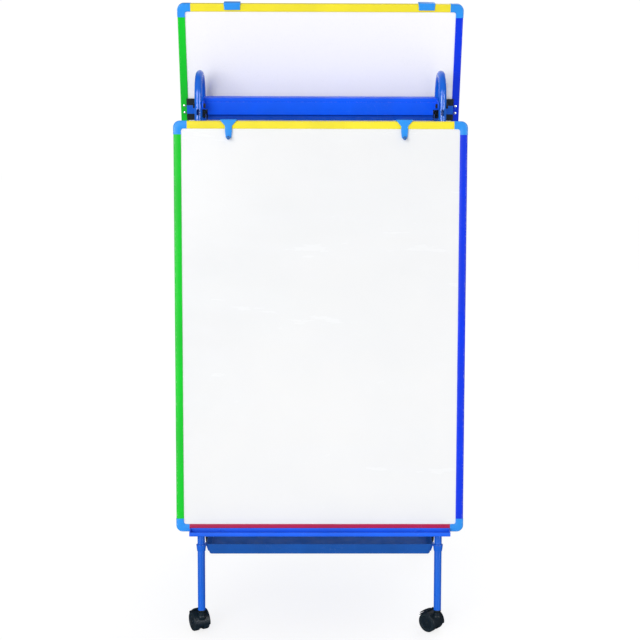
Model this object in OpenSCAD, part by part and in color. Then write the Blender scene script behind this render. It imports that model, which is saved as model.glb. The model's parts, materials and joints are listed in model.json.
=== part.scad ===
// Double-sided mobile easel for children: two sliding boards on an A-shaped tube frame with casters.
// Origin: on the floor, midway between the four legs. +Z up, the front board faces -Y.

/* [Frame] */
// lean of each pair of legs from the vertical, degrees
lean = 9; // [8:0.5:10]
// distance from the centre plane to each leg's centreline
leg_x = 302; // [300:1:304]
// outside diameter of the frame tube
tube_d = 19; // [18.5:0.5:19.5]
// wall of the frame tube
tube_wall = 1.5; // [1:0.25:2]
// radius of the arch at the top of each side frame, to the tube's centreline
arch_r = 56; // [54:1:60]
// height of the arch centre above the floor
arch_z = 1343; // [1343:1:1360]

/* [Boards] */
// overall width of a board
board_w = 720; // [716:1:730]
// overall height of a board
board_h = 1022; // [1010:1:1030]
// depth of the rails
rail_depth = 20; // [20:1:22]
// face width of the rails
rail_face = 19; // [18:0.5:20]
// distance of a board's lower edge from the floor, along the legs, in the lowest place
board_low = 280.5; // [278:0.5:290]
// how far a board slides up
travel = 281; // [200:1:281]
// where the front board stands in its travel
front_raise = 0; // [0:1:1]
// side of the square covered by a corner cap
cap_leg = 33; // [32:1:40]
// length of a pen tray
pen_tray_l = 652; // [600:1:652]
// depth of a pen tray, front to back
pen_tray_d = 24; // [22:1:30]

/* [Hooks] */
// centre of the front board's left hook
front_hook_l = -225; // [-240:1:-200]
// centre of the front board's right hook
front_hook_r = 205; // [190:1:230]
// centre of the rear board's left hook
rear_hook_l = -222; // [-240:1:-200]
// centre of the rear board's right hook
rear_hook_r = 267; // [240:1:270]

/* [Storage tray] */
// half width of the storage tray at its rim
tray_top = 288.5; // [286:0.5:289]
// half width of the storage tray at its floor
tray_low = 280.5; // [276:0.5:281]
// underside of the storage tray above the floor
tray_z = 207; // [204:1:208]
// height of the storage tray's walls
tray_h = 27; // [27:1:28]

/* [Casters] */
// wheel diameter
wheel_d = 50; // [50:0.5:51]
// width of one wheel
wheel_w = 16; // [14:0.5:16]
// distance from the swivel axis to the wheel axle
trail = 20; // [18:1:20]
// direction each caster trails in: front left, front right, rear left, rear right
caster_turn = [25, 45, 20, -35];

/* [Hidden] */
$fn = 64;
eps = 0.05;
tube_r = tube_d / 2;
// where the leg centreline meets the floor plane, and the ends of its straight run
foot_y = arch_r / cos(lean) + arch_z * tan(lean);
leg_end = 64 / cos(lean);
leg_top = arch_z / cos(lean) + arch_r * tan(lean);
socket_y = foot_y - 72 * tan(lean);
// board faces measured from the leg centreline
face_y = -47.5;
back_y = face_y + rail_depth;
sheet_y = face_y + 2.5;
panel_y = back_y - 2.5;
// heights along the leg
bracket_up = 756.5;
guide_up = 60;
bracket_h = 30;
bolt_s = 1342;
stop_s = board_low + bracket_up - bracket_h / 2 - 5.3;
slot_s = 1325;
slot_r = 4;
slot_half = 4;
front_s = board_low + front_raise;
rear_s = board_low + travel;
knob_r = 15;
axle_z = wheel_d / 2;
web_half = 4.2;

// Colours
frame_blue = [0.10, 0.35, 0.85];
bright_blue = [0.08, 0.40, 1.0];
cap_blue = [0.22, 0.62, 1.0];
rail_green = [0.15, 0.80, 0.24];
rail_yellow = [1.0, 0.91, 0.25];
rail_blue = [0.09, 0.27, 0.98];
rail_red = [0.72, 0.15, 0.35];
caster_black = [0.10, 0.12, 0.15];
plated = [0.75, 0.77, 0.80];

// ---- places -----------------------------------------------------------------------------------

// Leg frame: z runs up the front legs' centreline from the floor plane, -y is square out of the board.
module on_front() {
    translate([0, -foot_y, 0]) rotate([-lean, 0, 0]) children();
}

module on_rear() {
    mirror([0, 1, 0]) on_front() children();
}

module both_sides() {
    children();
    mirror([1, 0, 0]) children();
}

module both_ends() {
    children();
    mirror([0, 1, 0]) children();
}

module all_legs() {
    both_sides() {
        on_front() children();
        on_rear() children();
    }
}

// ---- plain shapes -----------------------------------------------------------------------------

// Rectangle from p to q with rounded corners, true arcs.
module rounded(p, q, r) {
    translate([p[0] + r, p[1]]) square([q[0] - p[0] - 2 * r, q[1] - p[1]]);
    translate([p[0], p[1] + r]) square([q[0] - p[0], q[1] - p[1] - 2 * r]);
    for (x = [p[0] + r, q[0] - r])
        for (y = [p[1] + r, q[1] - r])
            translate([x, y]) circle(r);
}

module box(p, q) {
    translate(p) cube([q[0] - p[0], q[1] - p[1], q[2] - p[2]]);
}

// Cylinder along x, y or z between two values.
module rod_x(x0, x1, y, z, r) {
    translate([x0, y, z]) rotate([0, 90, 0]) cylinder(h = x1 - x0, r = r);
}

module rod_y(y0, y1, x, z, r) {
    translate([x, y1, z]) rotate([90, 0, 0]) cylinder(h = y1 - y0, r = r);
}

// ---- side frames ------------------------------------------------------------------------------

// One bent tube in its own plane: two legs and the arch. The legs are a hair wider than the bend
// and run a little way over it.
module bent_tube(r, low) {
    on_front() translate([0, 0, leg_end - low]) cylinder(h = leg_top + 1.5 - leg_end + low, r = r);
    on_rear() translate([0, 0, leg_end - low]) cylinder(h = leg_top + 1.5 - leg_end + low, r = r);
    translate([0, 0, arch_z]) rotate([0, -90, 0]) rotate([0, 0, lean - 90])
        rotate_extrude(angle = 180 - 2 * lean) translate([arch_r, 0]) circle(r - 0.1);
}

module side_frame(side) {
    color(frame_blue) translate([side * leg_x, 0, 0]) difference() {
        bent_tube(tube_r, 0);
        bent_tube(tube_r - tube_wall, 2);
        for (k = [0, 1]) mirror([0, k, 0]) on_front() {
            rod_x(-tube_d, tube_d, 0, bolt_s, 3.05);
            rod_x(-tube_d, tube_d, 0, stop_s, 3.05);
            rod_y(-tube_d, 0, 0, slot_s - slot_half, slot_r);
            rod_y(-tube_d, 0, 0, slot_s + slot_half, slot_r);
            box([-slot_r, -tube_d, slot_s - slot_half], [slot_r, 0, slot_s + slot_half]);
        }
    }
}

module side_frame_left() side_frame(-1);
module side_frame_right() side_frame(1);

// ---- apex crossbar ----------------------------------------------------------------------------

// Folded hat section, open below, its flanges turned down. The end plates are bolted between the tubes and
// leave the lower corners open for the clamp knobs.
module apex_crossbar() {
    end_in = leg_x - tube_r - 3;
    bolt_z = bolt_s * cos(lean);
    bolt_y = foot_y - bolt_s * sin(lean);
    end_low = 1314;
    color(bright_blue) difference() {
        union() {
            rotate([90, 0, 90]) translate([0, 0, -end_in]) linear_extrude(2 * end_in) difference() {
                union() {
                    rounded([-30, 1296], [30, 1342], 3);
                    translate([-38, 1291]) square([76, 3]);
                    translate([-30, 1291]) square([60, 20]);
                    for (y = [-38, 36]) translate([y, 1288]) square([2, 4]);
                }
                translate([-28, 1280]) square([56, 60]);
            }
            both_sides() rotate([90, 0, 90]) translate([0, 0, end_in]) linear_extrude(3) {
                rounded([-30, end_low], [30, 1342], 3);
                rounded([-bolt_y - 9, bolt_z - 9], [bolt_y + 9, bolt_z + 11], 6);
            }
        }
        for (s = [-1, 1]) rod_x(-400, 400, s * bolt_y, bolt_z, 3.05);
        both_sides() box([end_in - 10.5, -50, 1280], [leg_x, 50, end_low]);
    }
}

// One bolt through each tube and end plate, with its nut inside.
module crossbar_bolts() {
    color(plated) all_legs() {
        difference() {
            union() {
                rod_x(leg_x - tube_r - 8, leg_x + tube_r + 0.5, 0, bolt_s, 3);
                rod_x(leg_x + tube_r, leg_x + tube_r + 3.5, 0, bolt_s, 6);
            }
            rod_x(leg_x + tube_r + 1.5, leg_x + tube_r + 4, 0, bolt_s, 2);
        }
        translate([leg_x - tube_r - 8, 0, bolt_s]) rotate([0, 90, 0]) difference() {
            cylinder(h = 4.9, r = 5.5, $fn = 6);
            translate([0, 0, -1]) cylinder(h = 7, r = 3.02);
        }
    }
}

// Bolts the brackets come down on when a board is at its lowest.
module stop_bolts() {
    color(plated) all_legs() {
        rod_x(leg_x - tube_r - 4, leg_x + tube_r + 0.5, 0, stop_s, 3);
        rod_x(leg_x + tube_r, leg_x + tube_r + 3.5, 0, stop_s, 5);
        rod_x(leg_x - tube_r - 4, leg_x - tube_r - 0.02, 0, stop_s, 5);
    }
}

// ---- storage tray -----------------------------------------------------------------------------

tray_y = 235;
ear_low = 9;
ear_top = 24;
wall_tilt = atan((tray_top - tray_low) / tray_h);

module tray_section(cut) {
    polygon([[-tray_low + cut, tray_z + cut], [tray_low - cut, tray_z + cut],
        [tray_top - cut * 0.6, tray_z + tray_h + cut * 2],
        [-tray_top + cut * 0.6, tray_z + tray_h + cut * 2]]);
}

// Places a child so that its z axis runs square through a side wall, outward, near each leg.
module wall_screw() {
    both_sides() for (k = [0, 1]) mirror([0, k, 0])
        translate([(tray_top + tray_low) / 2 + 0.7, 223, tray_z + 16]) rotate([0, 90 + wall_tilt, 0])
            children();
}

module storage_tray() {
    color([0.13, 0.35, 0.67]) difference() {
        union() {
            rotate([90, 0, 0]) translate([0, 0, -tray_y]) linear_extrude(2 * tray_y) tray_section(0);
            box([-tray_top, -tray_y, tray_z + tray_h - 2], [tray_top, -tray_y + 9, tray_z + tray_h]);
            box([-tray_top, tray_y - 9, tray_z + tray_h - 2], [tray_top, tray_y, tray_z + tray_h]);
        }
        difference() {
            rotate([90, 0, 0]) translate([0, 0, -tray_y + 1.6]) linear_extrude(2 * tray_y - 3.2)
                tray_section(1.6);
            for (s = [-1, 1]) box([-400, s * (tray_y - 4.5) - 4.5, tray_z + tray_h - 2],
                [400, s * (tray_y - 4.5) + 4.5, tray_z + tray_h]);
        }
        wall_screw() translate([0, 0, -20]) cylinder(h = 40, r = 2.05);
    }
}

// Flared collars on the legs, each with an ear that the tray screws into.
module tray_collars() {
    color(frame_blue) difference() {
        union() {
            all_legs() translate([leg_x, 0, 219]) cylinder(h = 17, r1 = 10.6, r2 = 12.8);
            both_sides() for (s = [-1, 1]) rotate([90, 0, 0]) translate([0, 0, s > 0 ? -231 : 215])
                linear_extrude(16) polygon([
                    [tray_low + (tray_top - tray_low) * ear_low / tray_h + eps, tray_z + ear_low],
                    [leg_x - 4, tray_z + ear_low], [leg_x - 4, tray_z + ear_top],
                    [tray_low + (tray_top - tray_low) * ear_top / tray_h + eps, tray_z + ear_top]]);
        }
        all_legs() translate([leg_x, 0, 150]) cylinder(h = 150, r = tube_r + eps);
        wall_screw() translate([0, 0, -2]) cylinder(h = 9, r = 2.05);
    }
}

module tray_screws() {
    color(plated) wall_screw() {
        translate([0, 0, -1.5]) cylinder(h = 8, r = 2);
        translate([0, 0, -4.3]) cylinder(h = 2.2, r = 4);
        translate([0, 0, -3]) cylinder(h = 3, r = 2);
    }
}

// ---- leg sockets ------------------------------------------------------------------------------

// Plastic plug in the foot of each leg with an upright bore for the caster stem.
module leg_sockets() {
    color(caster_black) difference() {
        union() {
            all_legs() translate([leg_x, 0, leg_end - 3]) cylinder(h = 29, r = tube_r - tube_wall - eps);
            all_legs() translate([leg_x, 0, leg_end - 3]) cylinder(h = 2.95, r = tube_r);
            both_sides() for (s = [-1, 1]) translate([leg_x, s * socket_y, 58]) cylinder(h = 4, r = 7.5);
        }
        both_sides() for (s = [-1, 1]) translate([leg_x, s * socket_y, 50]) cylinder(h = 38.5, r = 4.05);
    }
}

// ---- boards -----------------------------------------------------------------------------------

// Rail section: x from the outer edge inward, y from the front face back.
module rail_section() {
    difference() {
        rounded([0, face_y], [rail_face, back_y], 2.5);
        rounded([2, face_y + 2], [8, back_y - 2], 1);
        translate([10, sheet_y - eps]) square([12, panel_y - sheet_y + 2 * eps]);
    }
}

// An upright rail standing at the outer edge x = -board_w / 2, between the corner caps.
module upright_rail(s) {
    translate([-board_w / 2, 0, s + cap_leg]) linear_extrude(board_h - 2 * cap_leg) rail_section();
}

// A level rail along the lower edge.
module level_rail(s) {
    translate([-board_w / 2 + cap_leg, 0, s]) rotate([0, 90, 0]) linear_extrude(board_w - 2 * cap_leg)
        mirror([1, 0]) rail_section();
}

module flip_up(s) {
    translate([0, 0, 2 * s + board_h]) mirror([0, 0, 1]) children();
}

// One corner cap at the lower left corner: an L with a rounded outer corner and two tongues.
module corner_cap(s) {
    x0 = -board_w / 2;
    difference() {
        union() {
            translate([0, back_y + 0.6, 0]) rotate([90, 0, 0])
                linear_extrude(rail_depth + 1.2) difference() {
                union() {
                    translate([x0 + 16, s - 0.6]) square([cap_leg - 16, rail_face + 0.6]);
                    translate([x0 - 0.6, s + 16]) square([rail_face + 0.6, cap_leg - 16]);
                    translate([x0 + 16, s + 16]) circle(16.6);
                    translate([x0 + rail_face, s + rail_face]) square(6);
                }
                translate([x0 + rail_face + 6, s + rail_face + 6]) circle(6);
            }
            box([x0 + 2.4, face_y + 2.4, s + 30], [x0 + 7.6, back_y - 2.4, s + cap_leg + 16]);
            box([x0 + 30, face_y + 2.4, s + 2.4], [x0 + cap_leg + 16, back_y - 2.4, s + 7.6]);
        }
        box([x0 + 10, sheet_y - eps, s + 10], [x0 + 60, panel_y + eps, s + 60]);
    }
}

module corner_caps(s) {
    color(cap_blue) both_sides() {
        corner_cap(s);
        flip_up(s) corner_cap(s);
    }
}

module writing_sheet(s) {
    color([0.98, 0.98, 0.98]) box([-board_w / 2 + 10.5, sheet_y, s + 10.5],
        [board_w / 2 - 10.5, sheet_y + 0.8, s + board_h - 10.5]);
}

// Core board with its pale backing.
module panel(s) {
    color([0.94, 0.94, 0.96]) box([-board_w / 2 + 10.5, sheet_y + 0.8, s + 10.5],
        [board_w / 2 - 10.5, panel_y, s + board_h - 10.5]);
}

// Open trough along the bottom rail, closed at both ends and riveted to the rail.
module pen_tray(s) {
    out = face_y - pen_tray_d;
    color(bright_blue) difference() {
        translate([-pen_tray_l / 2, 0, 0]) rotate([90, 0, 90]) linear_extrude(pen_tray_l) union() {
            polygon([[face_y - 0.02, s + 9.5], [face_y - 2, s + 9.5], [face_y - 2, s + 3.2],
                [out + 2, s + 3.2], [out, s + 1.2], [out, s - 4.5], [out + 3.5, s - 7.5],
                [face_y - 0.02, s - 7.5]]);
        }
        box([-pen_tray_l / 2 + 2, out + 2, s - 5.5], [pen_tray_l / 2 - 2, face_y - 2, s + 20]);
        both_sides() rod_y(face_y - 5, face_y + 1, 250, s + 5, 1.6);
    }
}

// Steel strap behind the side rail, folded round the outer side of the leg.
module slide_bracket(s) {
    c = s + bracket_up;
    difference() {
        union() {
            box([leg_x - 7.5, back_y + 0.02, c - 15], [board_w / 2 - 3, back_y + 2.5, c + 15]);
            box([leg_x + 10.4, back_y + 2.4, c - 15], [leg_x + 12.9, 15, c + 15]);
            box([leg_x - 8, 12.5, c - 15], [leg_x + 12.9, 15, c + 15]);
        }
        for (k = [-9, 9]) rod_y(back_y - 1, back_y + 5, board_w / 2 - 10, c + k, 2.05);
        rod_y(10, 20, leg_x, c, 3.07);
    }
}

module slide_brackets(s) {
    color(frame_blue) both_sides() slide_bracket(s);
}

// Plastic block inside each strap: it runs on the leg.
module bracket_blocks(s) {
    c = s + bracket_up;
    color(caster_black) both_sides() difference() {
        box([leg_x - 8, back_y + 2.55, c - 14.5], [leg_x + 10.3, 12.45, c + 14.5]);
        translate([leg_x, 0, c - 20]) cylinder(h = 40, r = tube_r + eps);
        rod_y(0, 20, leg_x, c, 3.07);
    }
}

module lower_guides(s) {
    c = s + guide_up;
    color(caster_black) both_sides() difference() {
        union() {
            box([leg_x - 14, back_y + 0.02, c - 15], [board_w / 2 - 3, back_y + 4, c + 15]);
            box([leg_x - 14, back_y + 0.02, c - 15], [leg_x + 14, 0, c + 15]);
            translate([leg_x, 0, c - 15]) cylinder(h = 30, r = 14);
        }
        translate([leg_x, 0, c - 20]) cylinder(h = 40, r = tube_r + eps);
        for (k = [-9, 9]) rod_y(back_y - 1, back_y + 5, board_w / 2 - 10, c + k, 2.05);
    }
}

// Rivets through the straps, the guides and the pen tray's back wall, ending at the rail's surface.
module rivets(s) {
    color(plated) both_sides() {
        rod_y(face_y - 3, face_y - 0.02, 250, s + 5, 1.55);
        rod_y(face_y - 3.6, face_y - 2.02, 250, s + 5, 3.2);
    }
    color(plated) both_sides() for (k = [-9, 9]) {
        rod_y(back_y + 0.02, back_y + 3, board_w / 2 - 10, s + bracket_up + k, 2);
        rod_y(back_y + 2.52, back_y + 4, board_w / 2 - 10, s + bracket_up + k, 4);
        rod_y(back_y + 0.02, back_y + 4.5, board_w / 2 - 10, s + guide_up + k, 2);
        rod_y(back_y + 4.02, back_y + 5.5, board_w / 2 - 10, s + guide_up + k, 4);
    }
}

// Spring clip over the top rail with a tapering tongue and a peg for a paper pad.
module hook(s, x) {
    top = s + board_h;
    peg_z = top - 41.5;
    color(cap_blue) translate([x, 0, 0]) {
        translate([0, face_y - 0.8, 0]) rotate([90, 0, 0]) linear_extrude(2.4) polygon([
            [-21, top + 3], [21, top + 3], [21, top - 3], [8.5, top - 17], [8.5, peg_z + 1],
            [-8.5, peg_z + 1], [-8.5, top - 17], [-21, top - 3]]);
        box([-21, face_y - 3.2, top + 0.8], [21, back_y + 3, top + 3]);
        box([-20, back_y + 0.8, top - 14], [20, back_y + 3, top + 3]);
        rod_y(face_y - 3.2, face_y - 0.8, 0, peg_z + 1, 8.5);
        rod_y(face_y - 14, face_y - 3, 0, peg_z, 4.5);
        translate([0, face_y - 14, peg_z]) sphere(r = 4.5);
    }
}

// Five-lobed knob on a screw that bears on the leg through the block.
module knob(s, side) {
    c = s + bracket_up;
    color(caster_black) translate([side * leg_x, 0, c]) {
        rod_y(9.9, 20, 0, 0, 3);
        rod_y(15.4, 18.8, 0, 0, 6);
        translate([0, 29, 0]) rotate([90, 0, 0]) linear_extrude(10.5) {
            circle(knob_r - 4);
            for (a = [0:4]) rotate(a * 72 + 90) translate([knob_r - 4.6, 0]) circle(4.4);
        }
        rod_y(28.9, 31, 0, 0, 7);
    }
}

// ---- casters ----------------------------------------------------------------------------------

// Places a caster with its swivel axis on z and its wheels trailing along +y.
module at_leg(i) {
    translate([i % 2 == 0 ? -leg_x : leg_x, i < 2 ? -socket_y : socket_y, 0])
        rotate([0, 0, caster_turn[i]]) children();
}

module caster_housing(i) {
    out = web_half + wheel_w + 1;
    color(caster_black) at_leg(i) difference() {
        union() {
            rotate([90, 0, 90]) translate([0, 0, -web_half]) linear_extrude(2 * web_half)
                translate([trail, axle_z]) circle(axle_z - 3);
            rotate([90, 0, 90]) translate([0, 0, -out]) linear_extrude(2 * out) difference() {
                translate([trail, axle_z]) circle(axle_z + 3.2);
                translate([trail - 40, axle_z - 45]) square([80, 43]);
                translate([trail + 15, axle_z - 10]) square([30, 30]);
            }
            translate([0, 0, 38]) cylinder(h = 19, r = 9);
            if (i < 2) box([-3, trail + 2, 48], [3, trail + 8, 59.3]);
            if (i < 2) rod_x(-9, 9, trail + 5, 57, 1.5);
        }
        for (s = [-1, 1])
            rod_x(s > 0 ? web_half : -40, s > 0 ? 40 : -web_half, trail, axle_z, axle_z + 0.9);
        rod_x(-10, 10, trail, axle_z, 3.02);
        translate([0, 0, 43.5]) cylinder(h = 20, r = 4.02);
    }
}

// Stem and axle.
module caster_steel(i) {
    color(plated) at_leg(i) {
        translate([0, 0, 44.1]) cylinder(h = 43.4, r = 4);
        rod_x(-web_half - wheel_w - 0.2, web_half + wheel_w + 0.2, trail, axle_z, 3);
    }
}

module caster_wheel(i, side) {
    color(caster_black) at_leg(i) difference() {
        translate([0, trail, axle_z]) rotate([0, 90, 0])
            translate([0, 0, side > 0 ? web_half + 0.4 : -web_half - 0.4 - wheel_w]) union() {
                translate([0, 0, 1.5]) cylinder(h = wheel_w - 3, r = axle_z);
                cylinder(h = 1.5, r1 = axle_z - 1.5, r2 = axle_z);
                translate([0, 0, wheel_w - 1.5]) cylinder(h = 1.5, r1 = axle_z, r2 = axle_z - 1.5);
            }
        rod_x(-40, 40, trail, axle_z, 3.05);
        rod_x(side > 0 ? web_half + wheel_w - 2.4 : -60, side > 0 ? 60 : -web_half - wheel_w + 2.4,
            trail, axle_z, 17);
    }
}

// Toe lever hinged on the two front casters' housings.
module brake_lever(i) {
    color(caster_black) at_leg(i) difference() {
        rotate([90, 0, 90]) translate([0, 0, -11]) linear_extrude(22) polygon([
            [trail + 3.2, 54.2], [trail + 9, 53.6], [trail + 16, 50.6], [trail + 31, 44], [trail + 33, 47],
            [trail + 18, 54.5], [trail + 10, 60], [trail + 3.2, 60]]);
        box([-3.4, trail, 50], [3.4, trail + 9.5, 70]);
        rod_x(-9.5, 9.5, trail + 5, 57, 1.56);
    }
}

// ---- one module per sub-part -------------------------------------------------------------------

module front_top_rail() color(rail_yellow) on_front() flip_up(front_s) level_rail(front_s);
module front_left_rail() color(rail_green) on_front() upright_rail(front_s);
module front_right_rail() color(rail_blue) on_front() mirror([1, 0, 0]) upright_rail(front_s);
module front_bottom_rail() color(rail_red) on_front() level_rail(front_s);
module front_corner_caps() on_front() corner_caps(front_s);
module front_writing_sheet() on_front() writing_sheet(front_s);
module front_panel() on_front() panel(front_s);
module front_pen_tray() on_front() pen_tray(front_s);
module front_slide_brackets() on_front() slide_brackets(front_s);
module front_bracket_blocks() on_front() bracket_blocks(front_s);
module front_lower_guides() on_front() lower_guides(front_s);
module front_rivets() on_front() rivets(front_s);
module front_hook_left() on_front() hook(front_s, front_hook_l);
module front_hook_right() on_front() hook(front_s, front_hook_r);
module front_knob_left() on_front() knob(front_s, -1);
module front_knob_right() on_front() knob(front_s, 1);
module rear_top_rail() color(rail_yellow) on_rear() flip_up(rear_s) level_rail(rear_s);
module rear_left_rail() color(rail_green) on_rear() upright_rail(rear_s);
module rear_right_rail() color(rail_blue) on_rear() mirror([1, 0, 0]) upright_rail(rear_s);
module rear_bottom_rail() color(rail_red) on_rear() level_rail(rear_s);
module rear_corner_caps() on_rear() corner_caps(rear_s);
module rear_writing_sheet() on_rear() writing_sheet(rear_s);
module rear_panel() on_rear() panel(rear_s);
module rear_pen_tray() on_rear() pen_tray(rear_s);
module rear_slide_brackets() on_rear() slide_brackets(rear_s);
module rear_bracket_blocks() on_rear() bracket_blocks(rear_s);
module rear_lower_guides() on_rear() lower_guides(rear_s);
module rear_rivets() on_rear() rivets(rear_s);
module rear_hook_left() on_rear() hook(rear_s, rear_hook_l);
module rear_hook_right() on_rear() hook(rear_s, rear_hook_r);
module rear_knob_left() on_rear() knob(rear_s, -1);
module rear_knob_right() on_rear() knob(rear_s, 1);
module caster_fl_housing() caster_housing(0);
module caster_fl_steel() caster_steel(0);
module caster_fl_wheel_a() caster_wheel(0, -1);
module caster_fl_wheel_b() caster_wheel(0, 1);
module caster_fr_housing() caster_housing(1);
module caster_fr_steel() caster_steel(1);
module caster_fr_wheel_a() caster_wheel(1, -1);
module caster_fr_wheel_b() caster_wheel(1, 1);
module caster_rl_housing() caster_housing(2);
module caster_rl_steel() caster_steel(2);
module caster_rl_wheel_a() caster_wheel(2, -1);
module caster_rl_wheel_b() caster_wheel(2, 1);
module caster_rr_housing() caster_housing(3);
module caster_rr_steel() caster_steel(3);
module caster_rr_wheel_a() caster_wheel(3, -1);
module caster_rr_wheel_b() caster_wheel(3, 1);
module brake_lever_fl() brake_lever(0);
module brake_lever_fr() brake_lever(1);

// ---- nodes ------------------------------------------------------------------------------------

side_frame_left();
side_frame_right();
apex_crossbar();
crossbar_bolts();
storage_tray();
tray_collars();
tray_screws();
leg_sockets();
stop_bolts();
front_top_rail();
front_left_rail();
front_right_rail();
front_bottom_rail();
front_corner_caps();
front_writing_sheet();
front_panel();
front_pen_tray();
front_slide_brackets();
front_bracket_blocks();
front_lower_guides();
front_rivets();
front_hook_left();
front_hook_right();
front_knob_left();
front_knob_right();
rear_top_rail();
rear_left_rail();
rear_right_rail();
rear_bottom_rail();
rear_corner_caps();
rear_writing_sheet();
rear_panel();
rear_pen_tray();
rear_slide_brackets();
rear_bracket_blocks();
rear_lower_guides();
rear_rivets();
rear_hook_left();
rear_hook_right();
rear_knob_left();
rear_knob_right();
caster_fl_housing();
caster_fl_steel();
caster_fl_wheel_a();
caster_fl_wheel_b();
caster_fr_housing();
caster_fr_steel();
caster_fr_wheel_a();
caster_fr_wheel_b();
caster_rl_housing();
caster_rl_steel();
caster_rl_wheel_a();
caster_rl_wheel_b();
caster_rr_housing();
caster_rr_steel();
caster_rr_wheel_a();
caster_rr_wheel_b();
brake_lever_fl();
brake_lever_fr();
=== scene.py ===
import json
import math
import bmesh
import bpy
import numpy as np
from mathutils import Matrix, Vector


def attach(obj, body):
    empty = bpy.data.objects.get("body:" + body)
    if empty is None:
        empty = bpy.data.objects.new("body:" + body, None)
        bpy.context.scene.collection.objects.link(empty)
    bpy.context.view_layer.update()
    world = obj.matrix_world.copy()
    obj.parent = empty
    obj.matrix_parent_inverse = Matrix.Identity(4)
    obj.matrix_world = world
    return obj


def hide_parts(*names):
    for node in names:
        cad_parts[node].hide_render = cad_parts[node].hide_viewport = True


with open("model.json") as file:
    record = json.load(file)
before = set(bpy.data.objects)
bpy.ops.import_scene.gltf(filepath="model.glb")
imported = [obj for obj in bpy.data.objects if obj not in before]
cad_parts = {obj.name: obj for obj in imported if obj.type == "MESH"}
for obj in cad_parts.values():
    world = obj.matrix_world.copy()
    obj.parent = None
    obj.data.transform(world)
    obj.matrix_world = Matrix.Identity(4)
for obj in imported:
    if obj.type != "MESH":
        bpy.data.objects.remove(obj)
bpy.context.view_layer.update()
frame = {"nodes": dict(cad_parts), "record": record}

# the easel's own measures, in millimetres, the same as the frame's
easel = {"lean": 9.0, "legX": 302.0, "archRadius": 56.0, "archHeight": 1343.0, "tubeRadius": 9.5,
         "boardWidth": 720.0, "boardHeight": 1022.0, "railFace": 19.0, "faceY": -47.5, "backY": -27.5,
         "capLeg": 33.0, "bracketUp": 756.5, "guideUp": 60.0}
boards = {"front": {"low": 280.5, "hooks": {"left": -225.0, "right": 205.0}},
          "rear": {"low": 561.5, "hooks": {"left": -222.0, "right": 267.0}}}
lean = math.radians(easel["lean"])
footY = easel["archRadius"] / math.cos(lean) + easel["archHeight"] * math.tan(lean)
millimetre = 0.001


def toWorld(side, points):
    # leg frame to the easel's frame: tilt about x by the lean, step out to the foot, mirror for the rear
    p = np.asarray(points, float)
    y = -footY + p[..., 1] * math.cos(lean) + p[..., 2] * math.sin(lean)
    z = -p[..., 1] * math.sin(lean) + p[..., 2] * math.cos(lean)
    return np.stack([p[..., 0], y if side == "front" else -y, z], -1) * millimetre


def roundedOutline(corners, radii, steps=6):
    # each corner of a closed outline becomes an arc: its centre lies on the bisector at radius / sin(half
    # angle);
    # a radius of 0, or a corner that is straight, stays a point
    c = np.asarray(corners, float)
    r = np.broadcast_to(np.asarray(radii, float), len(c))[:, None]
    back, ahead = np.roll(c, 1, 0) - c, np.roll(c, -1, 0) - c
    back /= np.linalg.norm(back, axis=1, keepdims=True)
    ahead /= np.linalg.norm(ahead, axis=1, keepdims=True)
    half = np.arccos(np.clip((back * ahead).sum(1, keepdims=True), -1, 1)) / 2
    halfway = np.maximum(np.linalg.norm(back + ahead, axis=1, keepdims=True), 1e-9)
    middle = c + (back + ahead) / halfway * r / np.sin(half)
    start, end = c + back * r / np.tan(half) - middle, c + ahead * r / np.tan(half) - middle
    turn = np.maximum(math.pi - 2 * half, 1e-6)[:, None, :]
    k = np.linspace(0, 1, steps)[None, :, None]
    arc = (np.sin((1 - k) * turn) * start[:, None] + np.sin(k * turn) * end[:, None]) / np.sin(turn)
    return (middle[:, None] + arc).reshape(-1, 2)


def roundedPath(corners, radii, steps=8):
    # an open line with arcs at its inner corners: the closed form, with the two ends put back as points
    c = np.asarray(corners, float)
    full = roundedOutline(c, [0, *radii, 0], steps).reshape(len(c), steps, 2)
    return np.concatenate([c[:1], full[1:-1].reshape(-1, 2), c[-1:]])


def closedTube(grid):
    # rows of closed loops joined into a tube, with one face over each end
    rows, around = grid.shape[:2]
    i = np.arange(rows - 1)[:, None] * around
    j = np.arange(around)[None, :]
    k = (j + 1) % around
    quads = np.stack([i + j, i + k, i + around + k, i + around + j], -1).reshape(-1, 4).tolist()
    ends = [list(range(around))[::-1], list(range((rows - 1) * around, rows * around))]
    return grid.reshape(-1, 3), quads + ends


def closedBand(grid):
    # a grid closed both ways round, or closed one way with its poles drawn together
    rows, around = grid.shape[:2]
    i = np.arange(rows)[:, None]
    j = np.arange(around)[None, :]
    a, b = (i + 1) % rows, (j + 1) % around
    quads = np.stack([i * around + j, i * around + b, a * around + b, a * around + j], -1)
    return grid.reshape(-1, 3), quads.reshape(-1, 4).tolist()


def extruded(outline, stations, place):
    # the same outline at each station: place(outline, station) gives rows of points
    return closedTube(np.stack([place(outline, s) for s in stations]))


def turned(profile, centre, axis, steps=40, side=None):
    # a profile of (radius, height) spun about an axis through centre, its two ends meeting on the axis or
    # each other
    a = np.asarray(axis, float) / np.linalg.norm(axis)
    u = np.cross(a, [0.0, 0.3, 1.0] if abs(a[2]) < 0.9 else [1.0, 0.2, 0.0])
    u /= np.linalg.norm(u)
    v = np.cross(a, u)
    t = np.arange(steps) / steps * 2 * math.pi
    ring = np.cos(t)[:, None] * u + np.sin(t)[:, None] * v
    p = np.asarray(profile, float)
    grid = ring[:, None, :] * p[None, :, :1] + a * p[None, :, 1:] + np.asarray(centre, float)
    return closedBand(toWorld(side, grid) if side else grid * millimetre)


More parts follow.
